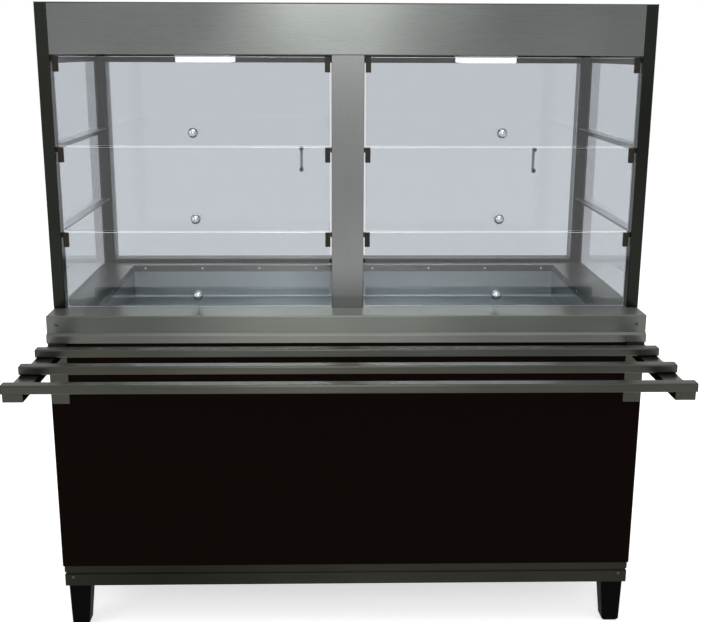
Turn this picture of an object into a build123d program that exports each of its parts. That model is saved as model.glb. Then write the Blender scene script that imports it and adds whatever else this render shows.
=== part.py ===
from build123d import *
import os
from math import cos, radians, sin

os.makedirs("parts", exist_ok=True)

# Refrigerated self-service display case, in millimetres.
# X runs across the case, the customers stand on the -Y side and Z is up.
# The origin lies on the floor, under the middle of the whole case.

# Overall sizes
case_width = 1500
case_height = 1612
body_depth = 740
slide_reach = 390
louvre_depth = 7

# Levels, one above the other
leg_height = 122
plinth_height = 58
deck_height = 860
apron_height = 44
rim_height = 25
header_height = 122

# Sheet metal
sheet = 1.5
panel_gauge = 1.2
bend = 2.5
flange = 22
seat_gap = 0.3

# Base
panel_return = 25
panel_corner = 3
plinth_inset = 3.5
plinth_groove_depth = 3
plinth_groove_low = 32
plinth_groove_high = 39
rim_overhang = 7
rim_slope = 6
floor_gauge = 2
leg_top = 58
leg_bottom = 45
leg_sole = 36
leg_sole_height = 6
leg_inset = 10
leg_setback = 10
leg_splay = 4
leg_corner = 4

# Rear service panel and its louvres
louvre_length = 300
louvre_height = 12
louvre_lip = 4
louvre_pitch = 30
louvre_rows = 12
louvre_first_height = 60
louvre_column_offset = 400

# Deck and cold well
deck_corner = 3
well_side_margin = 105
well_front = 117
well_back_margin = 104
well_depth = 100
well_corner = 4
well_flange = 20
tub_gauge = 1.2
tub_cove = 6
tub_lip = 14
coil_diameter = 10
coil_pitch = 62
coil_margin = 60
coil_sides = 8
foam_thickness = 38
foam_gap = 0.5

# Posts that carry the header
post_setback = 80
post_width = 30
post_depth = 40
post_corner = 2
centre_post_width = 80
rear_post_setback = 63
rear_post_width = 39
rear_post_depth = 60

# Side panes
pane_gauge = 6
pane_inset = 5
pane_edge_depth = 6
pane_clearance = 0.3
pane_rise = 10

# Header and lamps
fascia_flange = 40
ceiling_lip = 22
ceiling_side_gap = 0.5
lamp_size = 150
lamp_side_inset = 373
lamp_setback = 377
lamp_base = 5
lamp_drop = 15
lamp_margin = 2
lamp_corner = 6
diffuser_wall = 2

# Shelf rails on the side panes
shelf_rises = {"lower": 202, "upper": 414}
rail_ledge = 25
rail_leg = 20

# Rear sliding doors
track_depth = 56
bottom_track_height = 12
top_track_height = 24
groove_width = 6.6
bottom_groove = 8
top_groove = 16
track_pitch = 28
door_gauge = 5
door_overlap = 30
door_side_gap = 0.3
door_lift = 4
door_handle_rise = 316
door_handle_left = -131
door_handle_right_inset = 166
door_handle_centres = 64
door_handle_reach = 20
door_handle_diameter = 9
door_handle_foot = 14
door_handle_foot_depth = 2

# Front flaps, in three rows and two columns
flap_gauge = 5
flap_plane = 94.5
flap_rises = {"lower": 196, "middle": 409}
flap_joint_gap = 4
flap_foot_gap = 2
flap_head_gap = 4
clip_width = 13
clip_height = 37
clip_depth = 10
clip_web = 2
pivot_drop = 6
pivot_diameter = 5
pivot_clearance = 0.1
pivot_reach = 6
bush_flange = 3
bush_size = 12
bush_shank = 9
bush_length = 8
clip_running_gap = 0.5
knob_diameter = 25
knob_height = 33
knob_neck = 8
knob_neck_length = 7
knob_base = 16
knob_base_depth = 2.5
knob_stud = 5
knob_washer = 12
knob_washer_depth = 2.5
stud_hole = 6

# Tray slide
slide_rail_drop = 54.5
slide_rail_height = 20
slide_rail_depth = 30
slide_rail_corner = 4
slide_rail_reaches = [114, 251, 390]
cap_depth = 2
cap_plug = 12
cap_play = 0.2
bracket_width = 44
bracket_edge = 3
arm_height = 18
arm_gauge = 2
arm_front_gap = 3
wall_plate_gauge = 3
wall_plate_drop = 70
wall_plate_length = 158

# Screws and rivets
screw_head = 9
screw_head_depth = 2.2
plinth_screw_drop = 8
plate_screw_low = 24
plate_screw_high = 100
post_screw_inset = 12
post_screw_low = 43
post_screw_middle = 319
post_screw_drop = 39
panel_screw_inset = 12
panel_screw_margin = 30
head_sides = 8
head_crown = 0.6
rivet_head = 7
rivet_head_depth = 1.4
rivet_drop = 10
rear_rivets = 8
rear_rivet_margin = 35.5
side_rivets = 4
side_rivet_first = 37
side_rivet_last = 11

# Condensing unit behind the rear panel
unit_side_inset = 320
condenser_width = 320
condenser_height = 290
condenser_depth = 60
condenser_gap = 12
fin_pitch = 8
fin_gauge = 2
fin_depth = 12
fan_height = 160
fan_diameter = 230
fan_tip_gap = 6
fan_hub = 60
fan_hub_depth = 24
fan_blades = 5
fan_blade_gauge = 2
fan_blade_pitch = 28
fan_shaft = 8
shroud_depth = 32
motor_diameter = 84
motor_length = 64
motor_gap = 8
motor_edge = 4
strap_width = 24
strap_gauge = 3
compressor_diameter = 150
compressor_height = 200
compressor_flange = 166
compressor_flange_depth = 6
compressor_foot = 190
compressor_foot_gauge = 3
compressor_setback = 330
dome_steps = 3

# Places that follow from the sizes above
half_width = case_width / 2
overall_depth = slide_reach + body_depth + louvre_depth
front_y = slide_reach - overall_depth / 2
rear_y = front_y + body_depth
plinth_top = leg_height + plinth_height
apron_bottom = deck_height - apron_height
rim_bottom = apron_bottom - rim_height
header_bottom = case_height - header_height
roof_underside = case_height - sheet
well_width = case_width - 2 * well_side_margin
well_length = body_depth - well_front - well_back_margin
shelf_levels = {row: deck_height + rise for row, rise in shelf_rises.items()}
flap_joints = {row: deck_height + rise for row, rise in flap_rises.items()}
door_handle_middle = deck_height + door_handle_rise
door_handle_places = {"left": door_handle_left,
                      "right": half_width - door_handle_right_inset}
slide_rail_top = deck_height - slide_rail_drop
wall_plate_top = deck_height - wall_plate_drop
wall_plate_bottom = wall_plate_top - wall_plate_length
unit_place = half_width - unit_side_inset
post_y = front_y + post_setback
post_back_y = post_y + post_depth
rear_post_y = rear_y - rear_post_setback
well_middle_y = front_y + well_front + well_length / 2
well_floor = deck_height - well_depth
pane_outer_x = half_width - pane_inset
pane_inner_x = pane_outer_x - pane_gauge
rear_post_outer_x = half_width - sheet
rear_post_inner_x = rear_post_outer_x - rear_post_width
flap_y = front_y + flap_plane
track_middle_y = rear_post_y + track_depth / 2
bottom_track_top = deck_height + bottom_track_height
top_track_bottom = header_bottom - top_track_height


# Helpers for sheet and tube work

def slab(x_span, y_span, z_span):
    spans = (x_span, y_span, z_span)
    middle = [(low + high) / 2 for low, high in spans]
    return Pos(*middle) * Box(*[high - low for low, high in spans])


def grown(span, amount):
    return (span[0] - amount, span[1] + amount)


def sheet_tray(x_span, y_span, z_span, gauge, lip, axis, side, corner=0):
    """A tray of folded sheet, open on one side, with a lip round the open side."""
    spans = [x_span, y_span, z_span]
    body = slab(*spans)
    if corner:
        body = fillet(body.edges().filter_by(Axis.Z), corner)
    cavity = [grown(span, -gauge) for span in spans]
    mouth = [grown(span, -lip) for span in spans]
    low, high = spans[axis]
    middle = (low + high) / 2
    mouth[axis] = (middle, high + 1) if side > 0 else (low - 1, middle)
    return body - slab(*cavity) - slab(*mouth)


def folded(points, gauge=sheet, radius=bend):
    """Section of a folded sheet. The metal lies to the right of the path."""
    path = FilletPolyline(*points, radius=radius)
    return make_face(offset(path, amount=gauge, side=Side.RIGHT))


def along_x(section, length, middle_x=0):
    return Pos(middle_x, 0, 0) * extrude(Plane.YZ * section, amount=length / 2, both=True)


def square_tube(x_span, y_span, z_span, gauge, corner):
    width = x_span[1] - x_span[0]
    depth = y_span[1] - y_span[0]
    ring = RectangleRounded(width, depth, corner)
    ring -= RectangleRounded(width - 2 * gauge, depth - 2 * gauge, max(corner - gauge, 0.3))
    middle = ((x_span[0] + x_span[1]) / 2, (y_span[0] + y_span[1]) / 2, z_span[0])
    return Pos(*middle) * extrude(ring, amount=z_span[1] - z_span[0])


def mirrored(solid):
    return mirror(solid, about=Plane.YZ)


def turned(profile):
    """A turned piece: the profile gives radius and height, round the Z axis."""
    return revolve(Plane.XZ * profile, axis=Axis.Z)


def facing(place, direction):
    """A place on a surface, with Z pointing the given way out of it."""
    return Plane(origin=place, z_dir=direction).location


# Base: floor pan, legs, panels and trim

def make_base_floor():
    inset = plinth_inset + plinth_groove_depth + sheet
    return sheet_tray((-half_width + inset, half_width - inset),
                      (front_y + inset, rear_y - inset),
                      (leg_height, plinth_top), floor_gauge, flange, axis=2, side=1)


def make_leg(side, end):
    """Tapered plastic leg with a rounded square section and a levelling sole."""
    top_x = side * (half_width - plinth_inset - leg_inset + 3 - leg_top / 2)
    front_x = front_y + leg_setback + leg_top / 2
    top_y = front_x if end < 0 else rear_y - leg_setback - leg_top / 2
    low_x = top_x + side * leg_splay
    low_y = top_y + end * leg_splay
    body = loft([
        Pos(low_x, low_y, leg_sole_height) * RectangleRounded(leg_bottom, leg_bottom, leg_corner),
        Pos(top_x, top_y, leg_height) * RectangleRounded(leg_top, leg_top, leg_corner),
    ])
    sole = loft([
        Pos(low_x, low_y, 0) * RectangleRounded(leg_sole, leg_sole, leg_corner),
        Pos(low_x, low_y, leg_sole_height) * RectangleRounded(leg_bottom, leg_bottom, leg_corner),
    ])
    return body + sole


def make_front_panel():
    return sheet_tray((-half_width, half_width), (front_y, front_y + panel_return),
                      (plinth_top, rim_bottom), panel_gauge, flange,
                      axis=1, side=1, corner=panel_corner)


def make_side_panel():
    return sheet_tray((half_width - panel_return, half_width),
                      (front_y + panel_return, rear_y),
                      (plinth_top, apron_bottom), panel_gauge, flange, axis=0, side=-1)


def plinth_band(inset, z_low, z_high, thickness=sheet):
    outer = slab((-half_width + inset, half_width - inset), (front_y + inset, rear_y),
                 (z_low, z_high))
    inside = slab(grown((-half_width, half_width), -inset - thickness),
                  (front_y + inset + thickness, rear_y + 1), (z_low - 1, z_high + 1))
    return outer - inside


def make_plinth_trim():
    """Skirting strip round the front and sides, with a pressed groove along it."""
    low_z = leg_height + plinth_groove_low
    high_z = leg_height + plinth_groove_high
    across = plinth_groove_depth + sheet
    trim = plinth_band(plinth_inset, leg_height, low_z)
    trim += plinth_band(plinth_inset, high_z, plinth_top)
    trim += plinth_band(plinth_inset, low_z - sheet, low_z, across)
    trim += plinth_band(plinth_inset, high_z, high_z + sheet, across)
    return trim + plinth_band(plinth_inset + plinth_groove_depth, low_z, high_z)


def make_rear_service_panel():
    """Lift-off service panel with two columns of pressed louvres."""
    width = half_width - panel_return
    panel = sheet_tray((-width, width), (rear_y - panel_return, rear_y),
                       (plinth_top, apron_bottom), panel_gauge, flange, axis=1, side=-1)
    hood_outline = Polyline((0, louvre_height), (louvre_depth, louvre_lip),
                            (louvre_depth, 0), (0, 0), close=True)
    hood = along_x(make_face(hood_outline), louvre_length)
    hollow = along_x(make_face(hood_outline), louvre_length - 2 * panel_gauge)
    hood -= Pos(0, -panel_gauge, -panel_gauge) * hollow
    slot = slab((-louvre_length / 2 + panel_gauge, louvre_length / 2 - panel_gauge),
                (-2 * panel_gauge, 0), (0, louvre_height - 2 * panel_gauge))
    places = [Pos(x, rear_y, plinth_top + louvre_first_height + row * louvre_pitch)
              for x in (-louvre_column_offset, louvre_column_offset)
              for row in range(louvre_rows)]
    return panel - [place * slot for place in places] + [place * hood for place in places]


def make_deck_rim():
    """Folded strip under the apron, standing proud of it, that backs the tray slide."""
    back = front_y + flange
    front = front_y - rim_overhang
    points = [(back, rim_bottom), (front, rim_bottom), (front, apron_bottom - rim_slope),
              (front_y, apron_bottom), (back, apron_bottom)]
    return along_x(folded(points, radius=sheet + 0.3), case_width)


# Deck, cold well and what cools it

def well_block(grow, z_low, z_high, corner=well_corner):
    outline = RectangleRounded(well_width + 2 * grow, well_length + 2 * grow, corner + grow)
    return Pos(0, well_middle_y, z_low) * extrude(outline, amount=z_high - z_low)


def make_deck_top():
    """Deck pressed from one sheet, with aprons all round and a flanged well opening."""
    deck = slab((-half_width, half_width), (front_y, rear_y), (apron_bottom, deck_height))
    deck = fillet(deck.edges().filter_by(Axis.Z), deck_corner)
    deck = fillet(deck.edges().group_by(Axis.Z)[-1], deck_corner)
    deck -= slab((-half_width + sheet, half_width - sheet), (front_y + sheet, rear_y - sheet),
                 (apron_bottom - 1, deck_height - sheet))
    collar = well_block(sheet, deck_height - well_flange, deck_height - sheet / 2)
    opening = well_block(0, deck_height - well_flange - 1, deck_height + 1)
    return deck + collar - opening


def make_cold_well():
    """Pressed tub, open at the top, that hangs by its lip from the deck."""
    top = deck_height - sheet
    tub = well_block(sheet + tub_gauge, well_floor - tub_gauge, top)
    tub = fillet(tub.edges().group_by(Axis.Z)[0], tub_cove)
    hollow = well_block(sheet, well_floor, top + 1)
    hollow = fillet(hollow.edges().group_by(Axis.Z)[0], tub_cove - tub_gauge)
    lip = well_block(sheet + tub_gauge + tub_lip, top - tub_gauge, top)
    return tub + lip - hollow


def coil_height():
    return well_floor - tub_gauge - coil_diameter / 2


def make_evaporator_coil():
    """Copper tube in a serpentine under the floor of the well."""
    reach = well_width / 2 - coil_margin
    passes = int((well_length - 2 * coil_margin) / coil_pitch) + 1
    first_y = well_middle_y - (passes - 1) * coil_pitch / 2
    points = []
    for number in range(passes):
        ends = (-reach, reach) if number % 2 == 0 else (reach, -reach)
        points += [(end, first_y + number * coil_pitch, coil_height()) for end in ends]
    path = FilletPolyline(*points, radius=coil_pitch / 2 - 1)
    section = RegularPolygon(coil_diameter / 2, coil_sides)
    return sweep(Plane(path @ 0, z_dir=path % 0) * section, path=path)


def make_well_insulation():
    """Foam jacket round the walls and floor of the tub."""
    room = sheet + tub_gauge + foam_gap
    inner_floor = coil_height() - coil_diameter / 2 - seat_gap
    top = deck_height - sheet - tub_gauge - seat_gap
    jacket = well_block(room + foam_thickness, inner_floor - foam_thickness, top)
    return jacket - well_block(room, inner_floor, top + 1)


# Posts, panes and header

def pivot_heights():
    heads = {"lower": flap_joints["lower"] - flap_joint_gap / 2,
             "middle": flap_joints["middle"] - flap_joint_gap / 2,
             "upper": header_bottom - flap_head_gap}
    return {row: head - pivot_drop for row, head in heads.items()}


def bush_holes(x_low, x_high):
    """Holes through the wall of a post for the shanks of the pivot bushes."""
    hole = Rot(0, 90, 0) * Cylinder(bush_shank / 2, x_high - x_low)
    middle_x = (x_low + x_high) / 2
    return [Pos(middle_x, flap_y, height) * hole for height in pivot_heights().values()]


def make_upright():
    inner_x = half_width - post_width
    post = square_tube((inner_x, half_width), (post_y, post_back_y),
                       (deck_height, roof_underside), sheet, post_corner)
    post -= bush_holes(inner_x - 1, inner_x + 2 * sheet)
    return post - make_side_pane(pane_clearance)


def make_centre_post():
    half = centre_post_width / 2
    post = square_tube((-half, half), (post_y, post_back_y), (deck_height, header_bottom),
                       sheet, post_corner)
    post -= bush_holes(half - 2 * sheet, half + 1)
    return post - bush_holes(-half - 1, -half + 2 * sheet)


def make_rear_post():
    post = square_tube((rear_post_inner_x, rear_post_outer_x),
                       (rear_post_y, rear_post_y + rear_post_depth),
                       (deck_height, roof_underside), sheet, post_corner)
    return post - make_side_pane(pane_clearance)


def make_side_pane(clearance=0):
    """Clear side pane. Its front and rear edges stand in slots in the posts."""
    return slab(grown((pane_inner_x, pane_outer_x), clearance),
                (post_back_y - pane_edge_depth, rear_post_y + pane_edge_depth),
                (deck_height, header_bottom + pane_rise + clearance))


def make_header_fascia():
    back = post_y + fascia_flange
    points = [(back, header_bottom), (post_y, header_bottom),
              (post_y, roof_underside), (back, roof_underside)]
    return along_x(folded(points), case_width - 2 * post_width)


def make_roof_panel():
    """Lid with deep sides and back, that covers the posts and the header."""
    lid = slab((-half_width, half_width), (post_y, rear_y), (roof_underside, case_height))
    skirt = slab((-half_width, half_width), (post_back_y, rear_y),
                 (header_bottom, roof_underside))
    skirt -= slab((-half_width + sheet, half_width - sheet), (post_back_y - 1, rear_y - sheet),
                  (header_bottom - 1, roof_underside + 1))
    return lid + skirt


def make_ceiling_panel():
    """Inner ceiling, folded down along both side panes."""
    edge = pane_inner_x - ceiling_side_gap
    low = header_bottom - ceiling_lip
    high = header_bottom + sheet
    points = [(-edge, low), (-edge, high), (edge, high), (edge, low)]
    length = rear_post_y - post_back_y
    return Pos(0, (post_back_y + rear_post_y) / 2, 0) * extrude(
        Plane.XZ * folded(points), amount=length / 2, both=True)


def lamp_block(size, z_low, z_high, corner, side):
    x = side * (half_width - lamp_side_inset)
    y = front_y + lamp_setback
    return Pos(x, y, z_low) * extrude(RectangleRounded(size, size, corner), amount=z_high - z_low)


def make_lamp_housing(side):
    return lamp_block(lamp_size, header_bottom - lamp_base, header_bottom, lamp_corner, side)


def make_lamp_diffuser(side):
    """Opal dish under the lamp housing."""
    size = lamp_size - 2 * lamp_margin
    top = header_bottom - lamp_base
    dish = lamp_block(size, top - lamp_drop, top, lamp_corner, side)
    dish = fillet(dish.edges().group_by(Axis.Z)[0], lamp_corner / 2)
    hollow = lamp_block(size - 2 * diffuser_wall, top - lamp_drop + diffuser_wall, top + 1,
                        lamp_corner - diffuser_wall, side)
    return dish - hollow


def make_shelf_rails():
    """Two angle rails against a side pane, one above the other, between the posts."""
    length = rear_post_y - post_back_y
    rails = []
    for level in shelf_levels.values():
        points = [(pane_inner_x, level - rail_leg), (pane_inner_x, level),
                  (pane_inner_x - rail_ledge, level)]
        section = make_face(offset(FilletPolyline(*points, radius=bend), amount=sheet,
                                   side=Side.LEFT))
        rail = extrude(Plane.XZ * section, amount=length / 2, both=True)
        rails.append(Pos(0, (post_back_y + rear_post_y) / 2, 0) * rail)
    return rails


# Rear tracks and sliding doors

def door_y(side):
    """The left door runs in the outer groove and the right door in the inner one."""
    return track_middle_y - side * track_pitch / 2


def track(z_low, z_high, groove_low, groove_high):
    body = slab((-rear_post_inner_x, rear_post_inner_x),
                (track_middle_y - track_depth / 2, track_middle_y + track_depth / 2),
                (z_low, z_high))
    body = chamfer(body.edges().filter_by(Axis.X), 1)
    for side in (-1, 1):
        middle = door_y(side)
        body -= slab((-case_width, case_width),
                     (middle - groove_width / 2, middle + groove_width / 2),
                     (groove_low, groove_high))
    return body


def make_rear_bottom_track():
    return track(deck_height, bottom_track_top, bottom_track_top - bottom_groove,
                 bottom_track_top + 1)


def make_rear_top_track():
    return track(top_track_bottom, header_bottom, top_track_bottom - 1,
                 top_track_bottom + top_groove)


def make_rear_door(side):
    edges = sorted((side * (rear_post_inner_x - door_side_gap), -side * door_overlap / 2))
    middle = door_y(side)
    bottom = bottom_track_top - bottom_groove + seat_gap
    top = top_track_bottom + top_groove - door_lift
    return slab(edges, (middle - door_gauge / 2, middle + door_gauge / 2), (bottom, top))


def make_rear_door_handle(side, place):
    """Bow handle on the outside of a door, on two round feet."""
    face = door_y(side) + door_gauge / 2
    half = door_handle_centres / 2
    reach = door_handle_reach - door_handle_diameter / 2
    low, high = door_handle_middle - half, door_handle_middle + half
    points = [(place, face, low), (place, face + reach, low),
              (place, face + reach, high), (place, face, high)]
    path = FilletPolyline(*points, radius=door_handle_diameter)
    bow = sweep(Plane(path @ 0, z_dir=path % 0) * Circle(door_handle_diameter / 2), path=path)
    foot = extrude(Circle(door_handle_foot / 2), amount=door_handle_foot_depth)
    return bow + [facing((place, face, z), (0, 1, 0)) * foot for z in (low, high)]


# Front flaps with their pivots

def flap_span(row):
    """Height span of the pane of one row."""
    low = {"lower": deck_height + flap_foot_gap,
           "middle": flap_joints["lower"] + flap_joint_gap / 2,
           "upper": flap_joints["middle"] + flap_joint_gap / 2}[row]
    return (low, pivot_heights()[row] + pivot_drop)


def clip_ends():
    """Outer faces of the two clips of a flap, beside the centre post and the upright."""
    room = bush_flange + clip_running_gap
    return (centre_post_width / 2 + room, half_width - post_width - room)


def knob_x():
    return sum(clip_ends()) / 2


def make_flap(row):
    """Clear pane of a flap, drilled for the stud of its knob."""
    inner, outer = clip_ends()
    low, high = flap_span(row)
    pane = slab((inner + clip_web, outer - clip_web),
                (flap_y - flap_gauge / 2, flap_y + flap_gauge / 2), (low, high))
    pane = fillet(pane.edges().filter_by(Axis.Y), 1.5)
    hole = Rot(90, 0, 0) * Cylinder(stud_hole / 2, 2 * flap_gauge)
    return pane - Pos(knob_x(), flap_y, low + knob_height) * hole


def make_flap_fittings(row):
    """Two pivot clips that grip the top corners of the pane, and the ball knob."""
    inner, outer = clip_ends()
    low, high = flap_span(row)
    pivot_z = pivot_heights()[row]
    fittings = []
    for edge, way in ((inner, 1), (outer, -1)):
        clip = slab(sorted((edge, edge + way * clip_width)),
                    grown((flap_y, flap_y), clip_depth / 2), (high - clip_height, high))
        clip = fillet(clip.edges().filter_by(Axis.X), 1)
        clip -= slab(sorted((edge + way * clip_web, edge + way * 2 * clip_width)),
                     grown((flap_y, flap_y), flap_gauge / 2), (low, high + 1))
        pin = extrude(Circle(pivot_diameter / 2),
                      amount=clip_running_gap + bush_flange + pivot_reach + clip_web / 2)
        clip += facing((edge + way * clip_web / 2, flap_y, pivot_z), (-way, 0, 0)) * pin
        fittings.append(clip)
    return fittings + [make_knob(low + knob_height)]


def make_knob(height):
    """Ball knob with a stud through the pane and a washer behind it."""
    face = flap_gauge / 2
    radius = knob_diameter / 2
    back = -face - knob_washer_depth
    base_top = face + knob_base_depth
    middle = base_top + knob_neck_length + radius - 1
    stem = turned(make_face(Polyline(
        (0, back), (knob_washer / 2, back), (knob_washer / 2, -face),
        (knob_stud / 2, -face), (knob_stud / 2, face), (knob_base / 2, face),
        (knob_base / 2, base_top), (knob_neck / 2, base_top + 2),
        (knob_neck / 2, middle), (0, middle), close=True)))
    knob = stem + Pos(0, 0, middle) * Sphere(radius)
    return facing((knob_x(), flap_y, height), (0, -1, 0)) * knob


def make_flap_pivot_bushes():
    """Flanged plastic bushes in the posts, which the clip pins turn in."""
    flange_block = Pos(0, 0, bush_flange / 2) * Box(bush_size, bush_size, bush_flange)
    shank = Pos(0, 0, -bush_length) * extrude(Circle(bush_shank / 2 - 0.05),
                                              amount=bush_length)
    bore = Pos(0, 0, -bush_length - 1) * extrude(
        Circle(pivot_diameter / 2 + pivot_clearance), amount=bush_length + bush_flange + 2)
    bush = flange_block + shank - bore
    faces = ((centre_post_width / 2, 1), (half_width - post_width, -1))
    bushes = []
    for height in pivot_heights().values():
        for x, way in faces:
            bushes.append(facing((x, flap_y, height), (way, 0, 0)) * bush)
    return bushes + [mirrored(bush) for bush in bushes]


# Tray slide

def slide_rail_section(inset=0):
    return RectangleRounded(slide_rail_depth - 2 * inset, slide_rail_height - 2 * inset,
                            slide_rail_corner - inset)


def slide_rail_places():
    middle_z = slide_rail_top - slide_rail_height / 2
    return [Pos(0, front_y - reach + slide_rail_depth / 2, middle_z)
            for reach in slide_rail_reaches]


def make_tray_rails():
    tube = along_x(slide_rail_section() - slide_rail_section(sheet),
                   case_width - 2 * cap_depth)
    return [place * tube for place in slide_rail_places()]


def make_tray_rail_caps():
    """Push-in end caps that close the rail tubes."""
    face = along_x(slide_rail_section(), cap_depth, half_width - cap_depth / 2)
    plug = along_x(slide_rail_section(sheet + cap_play), cap_plug,
                   half_width - cap_depth - cap_plug / 2)
    cap = face + plug
    caps = [place * cap for place in slide_rail_places()]
    return caps + [mirrored(cap) for cap in caps]


def bracket_span():
    outer = half_width - bracket_edge
    return (outer - bracket_width, outer)


def make_tray_bracket():
    """Channel arm under the rails, and the wall plate that it is welded to."""
    top = slide_rail_top - slide_rail_height
    arm = sheet_tray(bracket_span(),
                     (front_y - slide_reach + arm_front_gap, front_y - wall_plate_gauge),
                     (top - arm_height, top), arm_gauge, arm_gauge, axis=2, side=-1)
    plate = slab(bracket_span(), (front_y - wall_plate_gauge, front_y),
                 (wall_plate_bottom, wall_plate_top))
    return [arm, chamfer(plate.edges().filter_by(Axis.Y), 2)]


# Screws and rivets

def pan_head(diameter, height):
    """Low pan head that sits on a surface, facing up Z, with few faces as it repeats."""
    radius = diameter / 2
    rim = RegularPolygon(radius, head_sides)
    crown = RegularPolygon(radius * head_crown, head_sides)
    return loft([rim, Pos(0, 0, height) * crown])


def make_casing_screws():
    middle_x = sum(bracket_span()) / 2
    plate_y = front_y - wall_plate_gauge
    places = [((middle_x, front_y, deck_height - apron_height / 2), (0, -1, 0)),
              ((middle_x, front_y + plinth_inset, leg_height + plinth_groove_low - plinth_screw_drop),
               (0, -1, 0)),
              ((middle_x, plate_y, wall_plate_bottom + plate_screw_low), (0, -1, 0)),
              ((middle_x, plate_y, wall_plate_bottom + plate_screw_high), (0, -1, 0))]
    post_x = rear_post_inner_x + post_screw_inset
    heights = (deck_height + post_screw_low, deck_height + post_screw_middle,
               header_bottom - post_screw_drop)
    places += [((post_x, rear_post_y, height), (0, -1, 0)) for height in heights]
    panel_x = half_width - panel_return - panel_screw_inset
    places += [((panel_x, rear_y, height), (0, 1, 0))
               for height in (plinth_top + panel_screw_margin,
                              apron_bottom - panel_screw_margin)]
    head = pan_head(screw_head, screw_head_depth)
    screws = [facing(*place) * head for place in places]
    return screws + [mirrored(screw) for screw in screws]


def make_well_rivets():
    """Rivets that hold the tub to the flange of the deck opening."""
    height = deck_height - rivet_drop
    front = front_y + well_front
    back = front + well_length
    rivet = pan_head(rivet_head, rivet_head_depth)
    rear_span = well_width - 2 * rear_rivet_margin
    side_pitch = (well_length - side_rivet_first - side_rivet_last) / (side_rivets - 1)
    rivets = []
    for number in range(rear_rivets):
        x = (number / (rear_rivets - 1) - 0.5) * rear_span
        rivets.append(facing((x, back, height), (0, -1, 0)) * rivet)
        rivets.append(facing((x, front, height), (0, 1, 0)) * rivet)
    for number in range(side_rivets):
        y = front + side_rivet_first + number * side_pitch
        rivets.append(facing((-well_width / 2, y, height), (1, 0, 0)) * rivet)
        rivets.append(facing((well_width / 2, y, height), (-1, 0, 0)) * rivet)
    return rivets


# Condensing unit

pan_top = leg_height + floor_gauge
condenser_back = rear_y - panel_return - condenser_gap
condenser_front = condenser_back - condenser_depth
fan_z = pan_top + fan_height


def make_condenser():
    """Finned block with a shroud plate and ring in front of it for the fan."""
    half = condenser_width / 2
    core = slab((unit_place - half, unit_place + half), (condenser_front, condenser_back),
                (pan_top, pan_top + condenser_height))
    gaps = int((condenser_width - 2 * fin_pitch) / fin_pitch)
    start = unit_place - gaps * fin_pitch / 2
    for number in range(gaps):
        left = start + number * fin_pitch + fin_gauge / 2
        core -= slab((left, left + fin_pitch - fin_gauge),
                     (condenser_back - fin_depth, condenser_back + 1),
                     (pan_top + fin_pitch, pan_top + condenser_height - fin_pitch))
    ring_bore = fan_diameter / 2 + fan_tip_gap
    ring = extrude(Circle(ring_bore + sheet) - Circle(ring_bore), amount=shroud_depth)
    return core + facing((unit_place, condenser_front, fan_z), (0, -1, 0)) * ring


def motor_back():
    return condenser_front - shroud_depth / 2 - fan_hub_depth / 2 - motor_gap


def make_fan_motor():
    """Motor on a folded strap that reaches across the shroud ring."""
    back = motor_back()
    strap_y = back - motor_length / 2
    half = fan_diameter / 2 + 25
    points = [(unit_place - half - 12, condenser_front), (unit_place - half, condenser_front),
              (unit_place - half, strap_y), (unit_place + half, strap_y),
              (unit_place + half, condenser_front), (unit_place + half + 12, condenser_front)]
    strap = extrude(folded(points, strap_gauge, strap_gauge + 1), amount=strap_width / 2,
                    both=True)
    strap = Pos(0, 0, fan_z) * strap
    motor = chamfer(Cylinder(motor_diameter / 2, motor_length).edges(), motor_edge)
    motor = Pos(unit_place, back - motor_length / 2, fan_z) * Rot(90, 0, 0) * motor
    shaft = extrude(Circle(fan_shaft / 2), amount=motor_gap + fan_hub_depth)
    return strap + motor + facing((unit_place, back, fan_z), (0, 1, 0)) * shaft


def make_fan_blade():
    """Hub with five pitched blades, bored for the motor shaft."""
    hub = Cylinder(fan_hub / 2, fan_hub_depth)
    tip = fan_diameter / 2
    width = fan_hub * 0.95
    blank = Pos((tip + fan_hub / 4) / 2, 0, 0) * Box(tip - fan_hub / 4, width, fan_blade_gauge)
    blank = fillet(blank.edges().filter_by(Axis.Z).group_by(Axis.X)[-1], width / 3)
    blade = Rot(fan_blade_pitch, 0, 0) * blank
    blade = blade & Cylinder(tip - 0.5, shroud_depth)
    rotor = hub + [Rot(0, 0, turn * 360 / fan_blades) * blade for turn in range(fan_blades)]
    rotor -= Cylinder(fan_shaft / 2 + pivot_clearance, shroud_depth)
    middle = condenser_front - shroud_depth / 2
    return facing((unit_place, middle, fan_z), (0, 1, 0)) * rotor


def make_compressor():
    """Welded steel pot on a foot plate, with four rubber feet."""
    radius = compressor_diameter / 2
    dome_height = radius * 0.45
    low = compressor_foot_gauge + 14
    high = low + compressor_height
    seam = low + compressor_height * 0.55
    turns = [radians(step * 90 / dome_steps) for step in range(dome_steps + 1)]
    bottom = [(radius - dome_height * (1 - sin(turn)), low + dome_height * (1 - cos(turn)))
              for turn in turns]
    top = [(r, high + low - z) for r, z in reversed(bottom)]
    pot = turned(make_face(Polyline((0, low), *bottom, *top, (0, high), close=True)))
    pot += Pos(0, 0, seam) * Cylinder(compressor_flange / 2, compressor_flange_depth)
    foot_z = low - compressor_foot_gauge / 2
    pot += Pos(0, 0, foot_z) * Box(compressor_foot, compressor_foot, compressor_foot_gauge)
    reach = compressor_foot / 2 - 16
    rubber = extrude(Circle(11), amount=low - compressor_foot_gauge)
    pot += [Pos(x, y, 0) * rubber for x in (-reach, reach) for y in (-reach, reach)]
    return Pos(unit_place, rear_y - compressor_setback, pan_top) * pot


# Every sub-part under its own name

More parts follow.
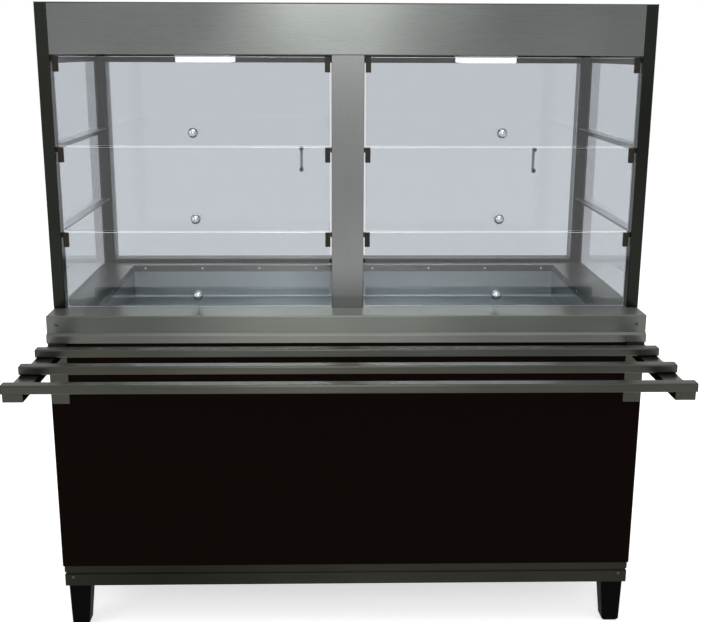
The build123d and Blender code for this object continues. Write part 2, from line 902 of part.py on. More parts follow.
nodes = {
    "base_floor": make_base_floor(),
    "leg_front_left": make_leg(-1, -1),
    "leg_front_right": make_leg(1, -1),
    "leg_rear_left": make_leg(-1, 1),
    "leg_rear_right": make_leg(1, 1),
    "front_panel": make_front_panel(),
    "side_panel_right": make_side_panel(),
    "side_panel_left": mirrored(make_side_panel()),
    "plinth_trim": make_plinth_trim(),
    "rear_service_panel": make_rear_service_panel(),
    "deck_rim": make_deck_rim(),
    "deck_top": make_deck_top(),
    "cold_well": make_cold_well(),
    "evaporator_coil": make_evaporator_coil(),
    "well_insulation": make_well_insulation(),
    "well_rivets": make_well_rivets(),
    "upright_right": make_upright(),
    "upright_left": mirrored(make_upright()),
    "centre_post": make_centre_post(),
    "rear_post_right": make_rear_post(),
    "rear_post_left": mirrored(make_rear_post()),
    "side_pane_right": make_side_pane(),
    "side_pane_left": mirrored(make_side_pane()),
    "header_fascia": make_header_fascia(),
    "roof_panel": make_roof_panel(),
    "ceiling_panel": make_ceiling_panel(),
    "lamp_housing_left": make_lamp_housing(-1),
    "lamp_housing_right": make_lamp_housing(1),
    "lamp_diffuser_left": make_lamp_diffuser(-1),
    "lamp_diffuser_right": make_lamp_diffuser(1),
    "shelf_rails_right": make_shelf_rails(),
    "shelf_rails_left": [mirrored(rail) for rail in make_shelf_rails()],
    "rear_bottom_track": make_rear_bottom_track(),
    "rear_top_track": make_rear_top_track(),
    "rear_door_left": make_rear_door(-1),
    "rear_door_right": make_rear_door(1),
    "rear_door_left_handle": make_rear_door_handle(-1, door_handle_places["left"]),
    "rear_door_right_handle": make_rear_door_handle(1, door_handle_places["right"]),
    "flap_pivot_bushes": make_flap_pivot_bushes(),
    "tray_rails": make_tray_rails(),
    "tray_rail_caps": make_tray_rail_caps(),
    "tray_bracket_right": make_tray_bracket(),
    "tray_bracket_left": [mirrored(piece) for piece in make_tray_bracket()],
    "casing_screws": make_casing_screws(),
    "condenser": make_condenser(),
    "fan_motor": make_fan_motor(),
    "fan_blade": make_fan_blade(),
    "compressor": make_compressor(),
}
for row in ("upper", "middle", "lower"):
    pane = make_flap(row)
    fittings = make_flap_fittings(row)
    nodes[f"flap_{row}_right"] = pane
    nodes[f"flap_{row}_left"] = mirrored(pane)
    nodes[f"flap_{row}_right_fittings"] = fittings
    nodes[f"flap_{row}_left_fittings"] = [mirrored(piece) for piece in fittings]

for name, shape in nodes.items():
    pieces = shape if isinstance(shape, list) else [shape]
    solids = [solid for piece in pieces for solid in piece.solids()]
    export_step(Compound(children=solids) if len(solids) > 1 else solids[0],
                f"parts/{name}.step")
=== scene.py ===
import math

import bmesh
import bpy
from mathutils import Matrix, Vector


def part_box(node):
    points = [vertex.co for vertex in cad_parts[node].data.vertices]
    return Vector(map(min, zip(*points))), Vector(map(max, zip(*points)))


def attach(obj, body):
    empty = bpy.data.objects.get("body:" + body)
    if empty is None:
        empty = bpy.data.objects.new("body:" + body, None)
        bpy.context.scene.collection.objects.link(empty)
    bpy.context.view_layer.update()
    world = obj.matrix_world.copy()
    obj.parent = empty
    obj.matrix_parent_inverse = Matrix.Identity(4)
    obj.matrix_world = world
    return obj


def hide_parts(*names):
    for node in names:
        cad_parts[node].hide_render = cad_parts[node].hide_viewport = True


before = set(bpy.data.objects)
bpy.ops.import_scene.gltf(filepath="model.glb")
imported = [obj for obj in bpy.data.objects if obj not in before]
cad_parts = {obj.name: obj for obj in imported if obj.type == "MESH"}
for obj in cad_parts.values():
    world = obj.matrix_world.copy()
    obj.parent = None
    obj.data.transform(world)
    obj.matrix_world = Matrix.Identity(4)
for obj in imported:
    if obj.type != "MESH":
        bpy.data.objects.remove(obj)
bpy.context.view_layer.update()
scene = bpy.context.scene

# Photographer's place: a camera at head height, a little left of the middle, looking slightly down.
# The lens and the angles were read from the photograph's verticals and levels.
camera_data = bpy.data.cameras.new("camera")
camera = bpy.data.objects.new("camera", camera_data)
scene.collection.objects.link(camera)
camera_data.sensor_width = 36
camera_data.lens = 53.55
camera_data.clip_start = 0.05
camera_data.clip_end = 60
camera.location = (-0.050, -2.7015, 1.500)
camera_pitch = math.radians(90 - 13.98)
camera_yaw = math.radians(-1.3)
camera_roll = math.radians(0.2)
camera_turn = Matrix.Rotation(camera_yaw, 4, "Z") @ Matrix.Rotation(camera_pitch, 4, "X")
camera_turn = camera_turn @ Matrix.Rotation(camera_roll, 4, "Z")
camera.rotation_euler = camera_turn.to_euler()
scene.camera = camera
scene.view_settings.view_transform = "Standard"


def linear(hex_colour):
    """Linear colour of an sRGB hex value."""
    parts = [int(hex_colour[place:place + 2], 16) / 255 for place in (0, 2, 4)]
    return tuple(p / 12.92 if p <= 0.04045 else ((p + 0.055) / 1.055) ** 2.4 for p in parts) + (1,)


def node(tree, kind, settings=None, links=None):
    """Adds a node to a tree, sets its properties and sockets, and links outputs into it."""
    made = tree.nodes.new(kind)
    for name, value in (settings or {}).items():
        if isinstance(name, str) and hasattr(made, name) and name not in made.inputs:
            setattr(made, name, value)
        else:
            made.inputs[name].default_value = value
    for name, source in (links or {}).items():
        tree.links.new(source, made.inputs[name])
    return made


# Studio: a pale seamless floor and white surroundings, that metal and glass show as well.
# The light that falls on the object itself stays at a plain level.
def background_seen(tree):
    """One for the rays that show the background: from the camera, a gloss or through glass."""
    path = node(tree, "ShaderNodeLightPath")
    direct = node(tree, "ShaderNodeMath", {"operation": "MAXIMUM"},
                  {0: path.outputs["Is Camera Ray"], 1: path.outputs["Is Transmission Ray"]})
    return node(tree, "ShaderNodeMath", {"operation": "MAXIMUM"},
                {0: direct.outputs[0], 1: path.outputs["Is Glossy Ray"]}).outputs[0]


sky_light = 0.50
world = bpy.data.worlds.new("studio")
scene.world = world
world.use_nodes = True
sky = world.node_tree
sky.nodes.clear()
sky_level = node(sky, "ShaderNodeMath", {"operation": "MULTIPLY_ADD", 1: 1 - sky_light, 2: sky_light},
                 {0: background_seen(sky)})
glow = node(sky, "ShaderNodeBackground", {"Color": linear("FFFFFF")},
            {"Strength": sky_level.outputs[0]})
node(sky, "ShaderNodeOutputWorld", links={"Surface": glow.outputs[0]})

floor_half = 14.0
floor_glow = 0.62
floor_mesh = bpy.data.meshes.new("studio_floor")
corners = [(-floor_half, -floor_half, 0), (floor_half, -floor_half, 0),
           (floor_half, floor_half, 0), (-floor_half, floor_half, 0)]
floor_mesh.from_pydata(corners, [], [(0, 1, 2, 3)])
floor = bpy.data.objects.new("studio_floor", floor_mesh)
scene.collection.objects.link(floor)
floor_paint = bpy.data.materials.new("pale studio floor")
floor_paint.use_nodes = True
floor_tree = floor_paint.node_tree
floor_shader = floor_tree.nodes["Principled BSDF"]
floor_shader.inputs["Base Color"].default_value = linear("E6E6E6")
floor_shader.inputs["Roughness"].default_value = 0.8
floor_shader.inputs["Specular IOR Level"].default_value = 0.1
floor_shader.inputs["Emission Color"].default_value = linear("FFFFFF")
floor_lift = node(floor_tree, "ShaderNodeMath", {"operation": "MULTIPLY", 1: floor_glow},
                  {0: background_seen(floor_tree)})
floor_tree.links.new(floor_lift.outputs[0], floor_shader.inputs["Emission Strength"])
floor_mesh.materials.append(floor_paint)

# Each lamp's name, place, width and height in metres and power in watts. All look at mid-height.
lamp_aim = Vector((0, 0, 0.9))
lamps = (("key", (0.0, -4.2, 2.7), 1.2, 1.8, 50), ("top", (0.2, -0.9, 3.6), 2.8, 1.6, 30),
         ("side", (-3.2, -2.0, 2.4), 1.8, 1.8, 24), ("back", (0.0, 3.6, 2.9), 3.0, 0.8, 64))
for lamp_name, place, wide, tall, power in lamps:
    lamp_data = bpy.data.lights.new(lamp_name, "AREA")
    lamp_data.shape = "RECTANGLE"
    lamp_data.size = wide
    lamp_data.size_y = tall
    lamp_data.energy = power
    lamp = bpy.data.objects.new(lamp_name, lamp_data)
    scene.collection.objects.link(lamp)
    lamp.location = place
    lamp.rotation_euler = (lamp_aim - Vector(place)).to_track_quat("-Z", "Y").to_euler()


# Legs: four tapered feet of black moulded ABS under the corners of the pan.
# The mould's spark grain keeps them matt. The real grain is about 0.1 mm, too fine to show, and is
# drawn at 1.2 mm.
def dress(material, *names):
    """Gives CAD nodes a material in place of their plain one."""
    for name in names:
        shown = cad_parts[name]
        for place in range(max(1, len(shown.data.materials))):
            if place < len(shown.data.materials):
                shown.material_slots[place].material = material
            else:
                shown.data.materials.append(material)


def grained(name, hex_colour, rough, grain_mm, depth_mm, metallic=0.0, specular=0.5):
    """Plain finish with an even grain of a given size and depth, as of paint, moulding or casting."""
    spread = 0.06
    material = bpy.data.materials.new(name)
    material.use_nodes = True
    tree = material.node_tree
    shader = tree.nodes["Principled BSDF"]
    shader.inputs["Base Color"].default_value = linear(hex_colour)
    shader.inputs["Metallic"].default_value = metallic
    shader.inputs["Specular IOR Level"].default_value = specular
    where = node(tree, "ShaderNodeTexCoord")
    grain = node(tree, "ShaderNodeTexNoise", {"Scale": 1000 / grain_mm, "Detail": 2.0},
                 {"Vector": where.outputs["Object"]})
    roughness = node(tree, "ShaderNodeMapRange", {"To Min": rough - spread, "To Max": rough + spread},
                     {"Value": grain.outputs["Fac"]})
    tree.links.new(roughness.outputs[0], shader.inputs["Roughness"])
    bump = node(tree, "ShaderNodeBump", {"Strength": 0.2, "Distance": depth_mm / 1000},
                {"Height": grain.outputs["Fac"]})
    tree.links.new(bump.outputs[0], shader.inputs["Normal"])
    return material


leg_plastic = grained("black moulded ABS", "030303", 0.55, 1.2, 0.3, specular=0.03)
dress(leg_plastic, "leg_front_left", "leg_front_right", "leg_rear_left", "leg_rear_right")

# Base panels: three trays of black powder-coated steel, screwed to the pan and under the deck.
# Sprayed powder melts to a satin skin with a slight orange peel, about 2.4 mm from ripple to ripple.
powder = grained("black powder-coated steel", "0B0502", 0.45, 2.4, 0.4, specular=0.02)
dress(powder, "front_panel", "side_panel_left", "side_panel_right")


# Plinth: a folded skirting of brushed stainless with a pressed groove, round the foot of the base.
# Brushing leaves scratches along the sheet, so that a lamp's image is drawn out across them. Real
# scratches are about 0.1 mm apart, too fine to show on any sheet here, and are drawn 0.9 mm apart.
def brushed(name, dark, bright, rough, way, grain_mm=0.9, stretch=0.75, waviness=0.0):
    """Satin stainless sheet, brushed along X, Y or Z, with slow patches of painted reflection in its
    colour.
    """
    quarter_turn = 0.25
    times_as_long = 120
    spread = 0.05
    material = bpy.data.materials.new(name)
    material.use_nodes = True
    tree = material.node_tree
    shader = tree.nodes["Principled BSDF"]
    shader.inputs["Metallic"].default_value = 1.0
    shader.inputs["Anisotropic"].default_value = stretch
    shader.inputs["Anisotropic Rotation"].default_value = quarter_turn
    axis = [1.0 if letter == way else 0.0 for letter in "XYZ"]
    grain = node(tree, "ShaderNodeCombineXYZ", {0: axis[0], 1: axis[1], 2: axis[2]})
    grain_now = node(tree, "ShaderNodeVectorTransform", {"vector_type": "VECTOR",
                     "convert_from": "OBJECT", "convert_to": "WORLD"}, {0: grain.outputs[0]})
    tree.links.new(grain_now.outputs[0], shader.inputs["Tangent"])
    where = node(tree, "ShaderNodeTexCoord")
    across = 1000 / grain_mm
    scale = [across, across, across]
    scale["XYZ".index(way)] = across / times_as_long
    drawn_out = node(tree, "ShaderNodeMapping", {"Scale": scale}, {"Vector": where.outputs["Object"]})
    scratches = node(tree, "ShaderNodeTexNoise", {"Scale": 1.0, "Detail": 4.0, "Roughness": 0.65},
                     {"Vector": drawn_out.outputs[0]})
    # Slow noise in the colour is painted reflection: soft bands of a mirrored room, mixed with the
    # drawn grain.
    painted_reflection = node(tree, "ShaderNodeTexNoise", {"Scale": 2.4, "Detail": 1.5},
                {"Vector": where.outputs["Object"]})
    grain_and_painted_reflection = node(tree, "ShaderNodeMath", {"operation": "MULTIPLY_ADD", 1: 0.25},
                {0: scratches.outputs["Fac"], 2: painted_reflection.outputs["Fac"]})
    ramp = node(tree, "ShaderNodeMapRange", {"From Min": 0.40, "From Max": 0.85},
                {"Value": grain_and_painted_reflection.outputs[0]})
    # A colour Mix has its two colours at inputs 6 and 7, and the result at output 2.
    colour = node(tree, "ShaderNodeMix", {"data_type": "RGBA"}, {0: ramp.outputs[0]})
    colour.inputs[6].default_value = linear(dark)
    colour.inputs[7].default_value = linear(bright)
    tree.links.new(colour.outputs[2], shader.inputs["Base Color"])
    roughness = node(tree, "ShaderNodeMapRange", {"To Min": rough - spread, "To Max": rough + spread},
                     {"Value": scratches.outputs["Fac"]})
    tree.links.new(roughness.outputs[0], shader.inputs["Roughness"])
    fine = node(tree, "ShaderNodeBump", {"Strength": 0.05, "Distance": 0.0002},
                {"Height": scratches.outputs["Fac"]})
    if waviness:
        sheet = node(tree, "ShaderNodeTexNoise", {"Scale": 3.0, "Detail": 0.0},
                     {"Vector": where.outputs["Object"]})
        fine = node(tree, "ShaderNodeBump", {"Strength": 1.0, "Distance": waviness},
                    {"Height": sheet.outputs["Fac"], "Normal": fine.outputs[0]})
    tree.links.new(fine.outputs[0], shader.inputs["Normal"])
    return material


skirting = brushed("brushed AISI 430 skirting", "211F1A", "302E29", 0.38, "X", stretch=0.92,
                   waviness=0.003)
dress(skirting, "plinth_trim", "base_floor", "rear_service_panel")

# Deck: one pressed top of satin stainless with a deep apron, and a folded strip under it.
# The long faces of the apron are never quite flat, so what they mirror wanders.
deck_steel = brushed("brushed AISI 304 deck", "575955", "6B6D68", 0.38, "X", stretch=0.92,
                     waviness=0.004)
dress(deck_steel, "deck_top", "deck_rim")

# Cold well: a stainless tub, pressed in one piece and hung behind the riveted flange of the deck.
# Pressing blurs the brushing, so that its walls are pale and even.
well_steel = brushed("pressed AISI 304 tub", "8E9496", "B2B8B9", 0.42, "X", stretch=0.3)
dress(well_steel, "cold_well")

# Corner posts and rear posts: dark polished stainless angles, brushed along their height.
# They stand on the deck and carry the header and the roof. The fine upright grain draws what they
# mirror out sideways.
dark_posts = brushed("dark brushed AISI 304 posts", "1B1D1A", "2C2E2A", 0.26, "Z", stretch=0.5)
dress(dark_posts, "upright_left", "upright_right", "rear_post_left", "rear_post_right")

# Centre post: a folded stainless box between the two columns of flaps, brushed along its height.
# It carries the inner pins of all six flaps, and its satin face is paler than the corner posts'.
centre_steel = brushed("brushed AISI 304 centre post", "6A6C6B", "828483", 0.30, "Z", stretch=0.5)
dress(centre_steel, "centre_post")

# Header, roof and ceiling: stainless sheets, folded and screwed to the posts. The header is satin,
# and the roof keeps its dull mill finish, which spreads a lamp's image too wide to dazzle.
header_steel = brushed("brushed AISI 304 header", "565957", "6E716F", 0.28, "X", waviness=0.006)
dress(header_steel, "header_fascia")
roof_steel = brushed("mill-finished AISI 304 roof", "4C4F4D", "5E615F", 0.60, "X", stretch=0.1)
dress(roof_steel, "roof_panel")
ceiling_steel = brushed("brushed AISI 304 ceiling", "50524F", "686A67", 0.32, "X", stretch=0.3)
dress(ceiling_steel, "ceiling_panel")

# Tracks of the rear doors: two grooved stainless rails, at the back of the deck and under the roof.
# They are brushed along their length, and the doors' sliding keeps them dull and dark.
track_steel = brushed("dark brushed AISI 304 track", "34362F", "4C4E48", 0.30, "X", stretch=0.3)
dress(track_steel, "rear_bottom_track", "rear_top_track")

# Shelf rails: light stainless angles on two levels at both sides of the compartment.
# They are folded from sheet that was brushed from front to back.
rail_steel = brushed("brushed AISI 304 shelf rail", "727472", "8E908E", 0.30, "Y", stretch=0.3)
dress(rail_steel, "shelf_rails_left", "shelf_rails_right")

# Tray slide: three square stainless tubes on folded side brackets, their ends shut by black caps.
# The tube is ground dark and smooth, so that its top faces catch the light and its fronts don't.
tube_steel = brushed("ground AISI 304 tube", "3A3A35", "4A4A45", 0.34, "X", stretch=0.8)
dress(tube_steel, "tray_rails")
# The brackets' colour is darkened as painted shade, for the shadow that the rails cast on them.
bracket_steel_painted_shade = brushed("brushed AISI 304 bracket, darkened as painted shade", "343531", "454641", 0.32, "Y", stretch=0.2)
dress(bracket_steel_painted_shade, "tray_bracket_left", "tray_bracket_right")
cap_plastic = grained("black moulded polyethylene", "0A0A0A", 0.5, 1.0, 0.2, specular=0.3)
dress(cap_plastic, "tray_rail_caps", "flap_pivot_bushes")

# Fastener heads: pan heads with a cross recess on the casing and blind rivets round the well.
# The screws are cold-headed stainless, smoother and darker than the sheet that they hold. The rivets
# are bright aluminium, and show as light dots along the flange.
sharp_angle = 0.6
same_place = 1e-5
head_steel = grained("cold-headed A2 stainless", "4A4A45", 0.24, 3.0, 0.05, metallic=1.0)
rivet_aluminium = grained("bright aluminium blind rivet", "E4E6E7", 0.28, 3.0, 0.05, metallic=1.0)

head_tree = bpy.data.node_groups.new("pressed fastener heads", "GeometryNodeTree")
head_sizes = ("Head diameter", "Head height", "Recess length", "Recess width")
head_tree.interface.new_socket("Places", in_out="INPUT", socket_type="NodeSocketGeometry")
for size_name in head_sizes:
    head_tree.interface.new_socket(size_name, in_out="INPUT", socket_type="NodeSocketFloat")
head_tree.interface.new_socket("Turn seed", in_out="INPUT", socket_type="NodeSocketInt")
head_tree.interface.new_socket("Finish", in_out="INPUT", socket_type="NodeSocketMaterial")
head_tree.interface.new_socket("Heads", in_out="OUTPUT", socket_type="NodeSocketGeometry")
wanted = node(head_tree, "NodeGroupInput").outputs
half_head = node(head_tree, "ShaderNodeMath", {"operation": "MULTIPLY", 1: 0.5},
                 {0: wanted["Head diameter"]})
dome_size = node(head_tree, "ShaderNodeCombineXYZ",
                 links={0: half_head.outputs[0], 1: half_head.outputs[0], 2: wanted["Head height"]})
ball = node(head_tree, "GeometryNodeMeshUVSphere", {"Segments": 20, "Rings": 10, "Radius": 1.0})
dome = node(head_tree, "GeometryNodeTransform",
            links={"Geometry": ball.outputs["Mesh"], "Scale": dome_size.outputs[0]})
under_head = 0.02
below = node(head_tree, "GeometryNodeMeshCube", {"Size": (under_head, under_head, under_head)})
below_at = node(head_tree, "GeometryNodeTransform", {"Translation": (0, 0, -under_head / 2)},
                {"Geometry": below.outputs["Mesh"]})
slot_size = node(head_tree, "ShaderNodeCombineXYZ",
                 links={0: wanted["Recess length"], 1: wanted["Recess width"],
                        2: wanted["Head height"]})
slot_height = node(head_tree, "ShaderNodeCombineXYZ", links={2: wanted["Head height"]})
slot = node(head_tree, "GeometryNodeMeshCube", links={"Size": slot_size.outputs[0]})
slot_along = node(head_tree, "GeometryNodeTransform",
                  links={"Geometry": slot.outputs["Mesh"], "Translation": slot_height.outputs[0]})
slot_across = node(head_tree, "GeometryNodeTransform", {"Rotation": (0, 0, math.pi / 2)},
                   {"Geometry": slot_along.outputs[0]})
# The cut under the head takes off the lower half of the dome, so that the head sits on the sheet.
head = node(head_tree, "GeometryNodeMeshBoolean", {"operation": "DIFFERENCE"},
            {"Mesh 1": dome.outputs[0]})
for cutter in (below_at, slot_along, slot_across):
    head_tree.links.new(cutter.outputs[0], head.inputs["Mesh 2"])
smooth = node(head_tree, "GeometryNodeSetShadeSmooth", {"domain": "FACE", "Shade Smooth": True},
              {"Geometry": head.outputs["Mesh"]})
bend = node(head_tree, "GeometryNodeInputMeshEdgeAngle")
sharp = node(head_tree, "FunctionNodeCompare", {"operation": "GREATER_THAN", "B": sharp_angle},
             {"A": bend.outputs["Unsigned Angle"]})
crisp = node(head_tree, "GeometryNodeSetShadeSmooth", {"domain": "EDGE", "Shade Smooth": False},
             {"Geometry": smooth.outputs[0], "Selection": sharp.outputs[0]})
facing = node(head_tree, "GeometryNodeInputNamedAttribute", {"data_type": "FLOAT_VECTOR",
              "Name": "facing"})
upright = node(head_tree, "FunctionNodeAlignRotationToVector", {"axis": "Z"},
               {"Vector": facing.outputs["Attribute"]})
each = node(head_tree, "GeometryNodeInstanceOnPoints",
            links={"Points": wanted["Places"], "Instance": crisp.outputs[0],
                   "Rotation": upright.outputs[0]})
tightened = node(head_tree, "FunctionNodeRandomValue", {"data_type": "FLOAT"},
                 {"Seed": wanted["Turn seed"]})
tightened.inputs[3].default_value = math.pi / 2
turned = node(head_tree, "ShaderNodeCombineXYZ", links={2: tightened.outputs[1]})
screwed = node(head_tree, "GeometryNodeRotateInstances", {"Local Space": True},
               {"Instances": each.outputs[0], "Rotation": turned.outputs[0]})
real = node(head_tree, "GeometryNodeRealizeInstances", links={"Geometry": screwed.outputs[0]})
coated = node(head_tree, "GeometryNodeSetMaterial",
              links={"Geometry": real.outputs[0], "Material": wanted["Finish"]})
node(head_tree, "NodeGroupOutput", links={0: coated.outputs[0]})


def head_places(name):
    """Where each head of a CAD node sits on its sheet, and which way it faces."""
    heads = bmesh.new()
    heads.from_mesh(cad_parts[name].data)
    bmesh.ops.remove_doubles(heads, verts=heads.verts, dist=same_place)
    met, places = set(), []
    for first in heads.verts:
        if first in met:
            continue
        met.add(first)
        waiting, one_head = [first], []
        while waiting:
            vert = waiting.pop()
            one_head.append(vert.co.copy())
            for edge in vert.link_edges:
                other = edge.other_vert(vert)
                if other not in met:
                    met.add(other)
                    waiting.append(other)
        low = Vector([min(point[axis] for point in one_head) for axis in range(3)])
        high = Vector([max(point[axis] for point in one_head) for axis in range(3)])
        middle = (low + high) / 2
        thin = min(range(3), key=lambda axis: high[axis] - low[axis])
        reach = {side: max((point - middle).length for point in one_head
                           if abs(point[thin] - side[thin]) < same_place) for side in
                 (low.freeze(), high.freeze())}
        base, crown = sorted(reach, key=reach.get, reverse=True)
        outward = Vector((0, 0, 0))
        outward[thin] = 1 if crown[thin] > base[thin] else -1
        middle[thin] = base[thin]
        places.append((middle, outward))
    heads.free()
    return places


# CAD node, metal, then in metres the head's diameter and height and the recess's length and width,
# and the seed of the turn at which each head was left.
head_kinds = (("casing_screws", head_steel, 0.0090, 0.0022, 0.0056, 0.0012, 7),
              ("well_rivets", rivet_aluminium, 0.0070, 0.0014, 0.0019, 0.0017, 7))
for fastener, head_metal, diameter, height, recess_long, recess_wide, seed in head_kinds:
    places = head_places(fastener)
    points = bpy.data.meshes.new(fastener + "_places")
    points.from_pydata([place for place, outward in places], [], [])
    points.attributes.new("facing", "FLOAT_VECTOR", "POINT")
    for row, (place, outward) in zip(points.attributes["facing"].data, places):
        row.vector = outward
    heads = bpy.data.objects.new(fastener + "_heads", points)
    scene.collection.objects.link(heads)
    growing = heads.modifiers.new("heads", "NODES")
    growing.node_group = head_tree
    given = {"Head diameter": diameter, "Head height": height, "Recess length": recess_long,
             "Recess width": recess_wide, "Turn seed": seed, "Finish": head_metal}
    for socket in head_tree.interface.items_tree:
        if socket.name in given:
            growing[socket.identifier] = given[socket.name]
    grown = heads.evaluated_get(bpy.context.evaluated_depsgraph_get())
    heads.data = bpy.data.meshes.new_from_object(grown)
    heads.modifiers.clear()
    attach(heads, "case")
    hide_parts(fastener)


# Side panes and rear doors: clear cast sheet with a faint grey tint and polished edges.
# The edges are painted near-white, a painted highlight for the light that they gather. Shadow rays
# pass through, as clear sheet throws next to no shadow.
def glazing(name, through_axis):
    """Clear sheet whose faces look along one axis, with all other faces as its polished edge, painted
    near-white as a painted highlight.
    """
    least_square_on = 0.9
    material = bpy.data.materials.new(name)
    material.use_nodes = True
    tree = material.node_tree
    shader = tree.nodes["Principled BSDF"]
    shader.inputs["Base Color"].default_value = linear("D9DCE0")
    shader.inputs["Transmission Weight"].default_value = 1.0
    shader.inputs["Roughness"].default_value = 0.02
    shader.inputs["IOR"].default_value = 1.49
    where = node(tree, "ShaderNodeTexCoord")
    turned_to = node(tree, "ShaderNodeSeparateXYZ", links={0: where.outputs["Normal"]})
    square_on = node(tree, "ShaderNodeMath", {"operation": "ABSOLUTE"},
                     {0: turned_to.outputs[through_axis]})
    painted_highlight_edge_on = node(tree, "ShaderNodeMath", {"operation": "LESS_THAN", 1: least_square_on},
                   {0: square_on.outputs[0]})
    # The edge faces get an opaque near-white shader: a painted highlight for the light that polished
    # edges gather.
    edge = node(tree, "ShaderNodeBsdfPrincipled", {"Base Color": linear("EEF4F3"), "Roughness": 0.2})
    sheet = node(tree, "ShaderNodeMixShader", links={0: painted_highlight_edge_on.outputs[0],
                 1: shader.outputs[0], 2: edge.outputs[0]})
    path = node(tree, "ShaderNodeLightPath")
    unshaded = node(tree, "ShaderNodeBsdfTransparent", {"Color": linear("F4F8F7")})
    mixed = node(tree, "ShaderNodeMixShader", links={0: path.outputs["Is Shadow Ray"],
                 1: sheet.outputs[0], 2: unshaded.outputs[0]})
    tree.links.new(mixed.outputs[0], tree.nodes["Material Output"].inputs["Surface"])
    return material


side_sheet = glazing("clear cast PMMA, side panes", "X")
dress(side_sheet, "side_pane_left", "side_pane_right")
front_sheet = glazing("clear cast PMMA, flaps and doors", "Y")
dress(front_sheet, "rear_door_left", "rear_door_right")

# Flaps: six panes of the same sheet. Their outer edges are bevelled and flame-polished, and their
# near-white painted highlight shows each joint between two rows as a bright line.
rows = ("upper", "middle", "lower")
flaps = [f"flap_{row}_{side}" for row in rows for side in ("left", "right")]
edge_bevel = 0.0011
border_angle = 0.5
for flap in flaps:
    low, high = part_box(flap)
    pane = bmesh.new()
    pane.from_mesh(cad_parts[flap].data)
    bmesh.ops.remove_doubles(pane, verts=pane.verts, dist=same_place)

    def on_border(vert):
        """True on the pane's outer edges, and not round the hole for its knob."""
        return any(abs(vert.co[axis] - side[axis]) < same_place
                   for axis in (0, 2) for side in (low, high))

    border = [edge for edge in pane.edges if all(on_border(vert) for vert in edge.verts)
              and edge.calc_face_angle(0) > border_angle]
    bmesh.ops.bevel(pane, geom=border, offset=edge_bevel, segments=2, profile=0.5, affect="EDGES")
    pane_mesh = bpy.data.meshes.new(flap + "_pane")
    pane.to_mesh(pane_mesh)
    pane.free()
    pane_mesh.materials.append(front_sheet)
    bevelled = bpy.data.objects.new(flap + "_pane", pane_mesh)
    scene.collection.objects.link(bevelled)
    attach(bevelled, flap)
    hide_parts(flap)

# Lamps: square luminaires under the ceiling, a stoved white box with an opal dish that glows evenly.
# The dish is moulded PMMA with a soft gloss. Its own even light stands in for the source behind it.
opal = bpy.data.materials.new("opal PMMA diffuser, lit")
opal.use_nodes = True
opal_shader = opal.node_tree.nodes["Principled BSDF"]
opal_shader.inputs["Base Color"].default_value = linear("FAFBFC")
opal_shader.inputs["Roughness"].default_value = 0.4
opal_shader.inputs["Emission Color"].default_value = linear("FBFDFF")
opal_shader.inputs["Emission Strength"].default_value = 1.2
dress(opal, "lamp_diffuser_left", "lamp_diffuser_right")
enamel = grained("white stoved enamel", "E8E8E6", 0.35, 2.0, 0.1)
dress(enamel, "lamp_housing_left", "lamp_housing_right")

# Handles of the rear doors: bent round bar, bright chromed, each standing on its pane by two feet.
# Wiping leaves a slight haze, in patches about 16 mm wide.
chrome = grained("bright chromium plate", "A9ADB1", 0.10, 16.0, 0.0, metallic=1.0)
dress(chrome, "rear_door_left_handle", "rear_door_right_handle")

# Condensing unit and cooling: copper tube, raw aluminium fins and blades, black-painted pot and
# motor, and the foam jacket of the well. All of it is out of sight in the base. Real drawing and
# rolling marks and foam cells are under 1 mm, and are drawn at 1.5 to 8 mm so that they show.
copper = grained("drawn copper tube", "B4693F", 0.35, 8.0, 0.05, metallic=1.0)
dress(copper, "evaporator_coil")
raw_aluminium = grained("rolled raw aluminium", "A2A4A6", 0.42, 8.0, 0.05, metallic=1.0)
dress(raw_aluminium, "condenser", "fan_blade")
pot_paint = grained("black stoving paint", "121212", 0.45, 3.0, 0.1)
dress(pot_paint, "compressor", "fan_motor")
foam = grained("rigid PU foam", "CDBE96", 0.92, 1.5, 0.6)
dress(foam, "well_insulation")

# Flap fittings: two cast clips that grip the top corners of each flap, with their pivot pins,
# and a turned and chromed ball knob screwed through the pane.
clip_zinc = grained("black-nickelled zinc die casting", "2E2B27", 0.40, 2.0, 0.1, metallic=1.0)

flap_plane, pane_half = -0.084, 0.0025
clip_wide, clip_high, clip_thick, clip_web = 0.013, 0.037, 0.010, 0.002
clip_edge = 0.0004
pin_radius, pin_drop = 0.0025, 0.006
washer_radius, washer_thick = 0.006, 0.0025
screw_radius = 0.0025
collar_radius, collar_thick, collar_chamfer = 0.008, 0.0025, 0.0007
neck_radius, neck_from, neck_long, neck_sunk = 0.004, 0.0045, 0.007, 0.001
knob_radius, knob_above_edge = 0.0125, 0.033
knob_sides, knob_rings = 48, 20
on_axis = 1e-6


def lathe(mesh, profile, place):
    """Turns a profile of (radius, reach towards the customer) round a line along Y."""
    rings = []
    for radius, reach in profile:
        if radius < on_axis:
            rings.append([mesh.verts.new((place.x, place.y - reach, place.z))])
            continue
        turns = [2 * math.pi * step / knob_sides for step in range(knob_sides)]
        rings.append([mesh.verts.new((place.x + radius * math.cos(turn), place.y - reach,
                                      place.z + radius * math.sin(turn))) for turn in turns])
    for first, second in zip(rings, rings[1:]):
        for step in range(knob_sides):
            after = (step + 1) % knob_sides
            quad = [first[step % len(first)], first[after % len(first)],
                    second[after % len(second)], second[step % len(second)]]
            mesh.faces.new(list(dict.fromkeys(quad)))


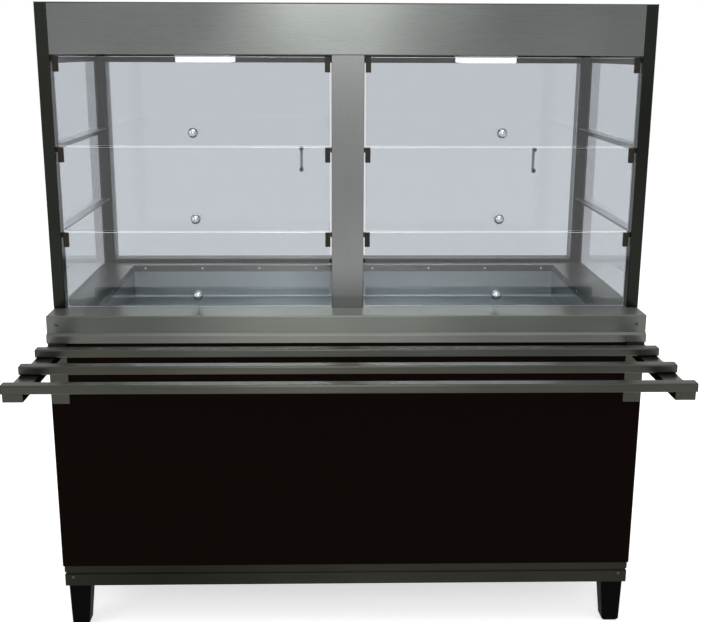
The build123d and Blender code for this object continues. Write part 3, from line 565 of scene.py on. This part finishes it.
for flap in flaps:
    low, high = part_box(flap)
    fit_low, fit_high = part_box(flap + "_fittings")
    shape = bmesh.new()
    for edge, way in ((low[0] - clip_web, 1), (high[0] + clip_web, -1)):
        clip_spans = [(edge, edge + way * clip_wide, flap_plane - clip_thick / 2,
                       flap_plane - pane_half),
                      (edge, edge + way * clip_wide, flap_plane + pane_half,
                       flap_plane + clip_thick / 2),
                      (edge, edge + way * clip_web, flap_plane - pane_half,
                       flap_plane + pane_half)]
        for x_from, x_to, y_from, y_to in clip_spans:
            block = bmesh.ops.create_cube(shape, size=1)["verts"]
            size = Vector((abs(x_to - x_from), y_to - y_from, clip_high))
            middle = Vector(((x_from + x_to) / 2, (y_from + y_to) / 2, high[2] - clip_high / 2))
            for vert in block:
                vert.co = Vector([vert.co[axis] * size[axis] + middle[axis] for axis in range(3)])
        pin_end = fit_low[0] if way > 0 else fit_high[0]
        pin = bmesh.ops.create_cone(shape, cap_ends=True, segments=24, radius1=pin_radius,
                                    radius2=pin_radius, depth=abs(edge - pin_end))["verts"]
        turn = Matrix.Rotation(math.radians(90), 4, "Y")
        pin_middle = Vector(((edge + pin_end) / 2, flap_plane, high[2] - pin_drop))
        for vert in pin:
            vert.co = turn @ vert.co + pin_middle
    clip_faces = len(shape.faces)
    knob_at = Vector(((low[0] + high[0]) / 2, flap_plane, low[2] + knob_above_edge))
    ball_middle = pane_half + collar_thick + neck_long + knob_radius - neck_sunk
    neck_angle = math.asin(neck_radius / knob_radius)
    turns = [neck_angle + (math.pi - neck_angle) * step / knob_rings for step in range(knob_rings + 1)]
    knob_ball = [(knob_radius * math.sin(turn), ball_middle - knob_radius * math.cos(turn))
                 for turn in turns]
    stem = [(0, -pane_half - washer_thick), (washer_radius, -pane_half - washer_thick),
            (washer_radius, -pane_half), (screw_radius, -pane_half), (screw_radius, pane_half),
            (collar_radius, pane_half), (collar_radius, pane_half + collar_thick - collar_chamfer),
            (collar_radius - collar_chamfer, pane_half + collar_thick),
            (neck_radius, pane_half + neck_from)]
    lathe(shape, stem + knob_ball, knob_at)
    for number, polygon in enumerate(shape.faces):
        polygon.material_index = 0 if number < clip_faces else 1
        polygon.smooth = number >= clip_faces
    bmesh.ops.recalc_face_normals(shape, faces=shape.faces)
    fittings_mesh = bpy.data.meshes.new(flap + "_hardware")
    shape.to_mesh(fittings_mesh)
    shape.free()
    fittings_mesh.materials.append(clip_zinc)
    fittings_mesh.materials.append(chrome)
    hardware = bpy.data.objects.new(flap + "_hardware", fittings_mesh)
    scene.collection.objects.link(hardware)
    softened = hardware.modifiers.new("softened edges", "BEVEL")
    softened.width = clip_edge
    softened.segments = 2
    softened.limit_method = "ANGLE"
    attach(hardware, flap)
    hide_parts(flap + "_fittings")
